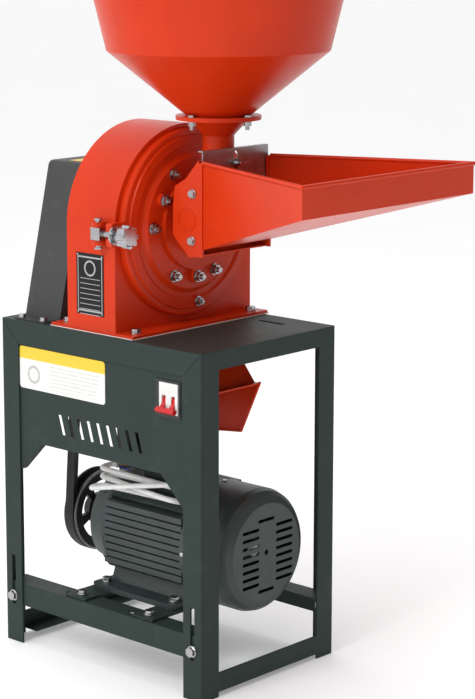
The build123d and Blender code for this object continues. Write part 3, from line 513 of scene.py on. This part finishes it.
lead_points = [S(*p) for p in LEAD]
lead = nurbs("supply_cable", lead_points, LEAD_DIAMETER, M["lead"])
for name, look, way in CORES:
    start = lead_points[-1] + Vector((way[0], 0, way[2])) * CORE_OFFSET
    mid = start + Vector((way[0] * 0.2, way[1] * 0.45, way[2] * 0.9)) / 1000
    tip = start + Vector(way) / 1000
    nurbs(name, [start, mid, tip], CORE_DIAMETER, M[look])
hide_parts("supply_lead")
route_length(lead_points)


# ---------------------------------------------------------------- small mesh pieces
def add(name, bm, material, body, smooth=True):
    mesh = bpy.data.meshes.new(name)
    bmesh.ops.recalc_face_normals(bm, faces=bm.faces)
    bm.to_mesh(mesh)
    bm.free()
    for p in mesh.polygons:
        p.use_smooth = smooth
    made = show(name, mesh)
    mesh.materials.append(material)
    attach(made, body)


def lathe(bm, profile, centre, axis, steps):
    """Revolve (radius, along) pairs, a closed outline, about the axis through centre, in metres."""
    axis = Vector(axis).normalized()
    a = axis.orthogonal().normalized()
    b = axis.cross(a)
    rings = []
    for i in range(steps):
        t = 2 * math.pi * i / steps
        out = a * math.cos(t) + b * math.sin(t)
        rings.append([bm.verts.new(centre + out * r + axis * h) for r, h in profile])
    n = len(profile)
    for i in range(steps):
        p, q = rings[i], rings[(i + 1) % steps]
        for j in range(n):
            k = (j + 1) % n
            loop = [p[j], p[k], q[k], q[j]]
            if profile[j][0] == 0.0 and profile[k][0] == 0.0:
                continue
            if profile[j][0] == 0.0:
                loop = [p[j], p[k], q[k]]
            elif profile[k][0] == 0.0:
                loop = [p[j], p[k], q[j]]
            bm.faces.new(loop)
    bmesh.ops.remove_doubles(bm, verts=bm.verts, dist=1e-7)


def slab(bm, a, b, bevel):
    """A box between two corners with bevelled edges."""
    made = bmesh.ops.create_cube(bm, size=1.0)
    c, d = (a + b) / 2, b - a
    for v in made["verts"]:
        v.co = Vector((c.x + v.co.x * d.x, c.y + v.co.y * d.y, c.z + v.co.z * d.z))
    edges = {e for v in made["verts"] for e in v.link_edges}
    bmesh.ops.bevel(bm, geom=list(edges), offset=bevel, segments=2, affect="EDGES")


def bright_rim():
    """The turned face of the motor pulley's rim: a thin flat ring with eased edges."""
    inner, outer, high = 0.0612, 0.0642, 0.0006
    ease = high / 3
    profile = [(inner, 0.0), (outer, 0.0), (outer, high - ease)]
    profile += [(outer - ease, high), (inner + ease, high), (inner, high - ease)]
    bm = bmesh.new()
    lathe(bm, profile, S(*RIM_AT), (0, -1, 0), 96)
    add("pulley_bright_rim", bm, M["rim"], "motor_rotor")


def gasket():
    bm = bmesh.new()
    for a, b in GASKET:
        slab(bm, S(*a), S(*b), 0.0003)
    add("base_gasket", bm, M["white"], "stand", False)


def guard_film():
    bm = bmesh.new()
    slab(bm, S(*FILM[0]), S(*FILM[1]), 0.0001)
    add("guard_film", bm, M["film"], "stand", False)


def rivets():
    """Four domed rivet heads at the data plate's corners."""
    r, h = 0.0016, 0.0008
    profile = [(0.0, 0.0), (r, 0.0), (r * 0.97, h * 0.35), (r * 0.7, h * 0.8), (0.0, h)]
    for i, (y, z) in enumerate(RIVETS):
        bm = bmesh.new()
        lathe(bm, profile, S(RIVET_X, y, z), (-1, 0, 0), 16)
        add("plate_rivet_%d" % i, bm, M["zinc"], "stand")


bright_rim()
gasket()
guard_film()
rivets()


# ---------------------------------------------------------------- light and floor
def lamp(name, at, aim, size, power):
    data = bpy.data.lights.new(name, "AREA")
    data.energy = power
    data.size = size
    made = show(name, data)
    made.location = at
    made.rotation_mode = "QUATERNION"
    made.rotation_quaternion = (aim - at).to_track_quat("-Z", "Y")


def pale_floor():
    bm = bmesh.new()
    bmesh.ops.create_grid(bm, x_segments=4, y_segments=4, size=FLOOR_SIZE)
    mesh = bpy.data.meshes.new("floor")
    bm.to_mesh(mesh)
    bm.free()
    floor = show("floor", mesh)
    floor.location.z = FLOOR_Z
    m = Mat("floor_pale")
    m.color(m.ramp(m.noise(2.0), [(0.3, 0.93), (0.7, 0.95)]))
    m.set(Roughness=0.9, Emission_Color=(1.0, 1.0, 1.0, 1.0), Emission_Strength=FLOOR_GLOW)
    mesh.materials.append(m.m)


def world_light():
    """A white world that fades towards one direction, so that the faces differ in brightness."""
    world = bpy.data.worlds.new("studio")
    bpy.context.scene.world = world
    world.use_nodes = True
    tree = world.node_tree
    back = tree.nodes["Background"]
    back.inputs[0].default_value = (1.0, 1.0, 1.0, 1.0)
    way = tree.nodes.new("ShaderNodeTexCoord").outputs["Generated"]
    dot = tree.nodes.new("ShaderNodeVectorMath")
    dot.operation = "DOT_PRODUCT"
    dot.inputs[1].default_value = Vector(DIM_WAY).normalized()
    tree.links.new(way, dot.inputs[0])
    fade = tree.nodes.new("ShaderNodeMapRange")
    for k, v in WORLD_FADE:
        fade.inputs[k].default_value = v
    tree.links.new(dot.outputs["Value"], fade.inputs["Value"])
    tree.links.new(fade.outputs[0], back.inputs[1])


pale_floor()
world_light()
aim = MID + Vector((0, 0, AIM_HEIGHT))
for name, way, size, power in LAMPS:
    lamp(name, aim + Vector(way), aim, size, power)
bpy.context.scene.view_settings.view_transform = "Standard"
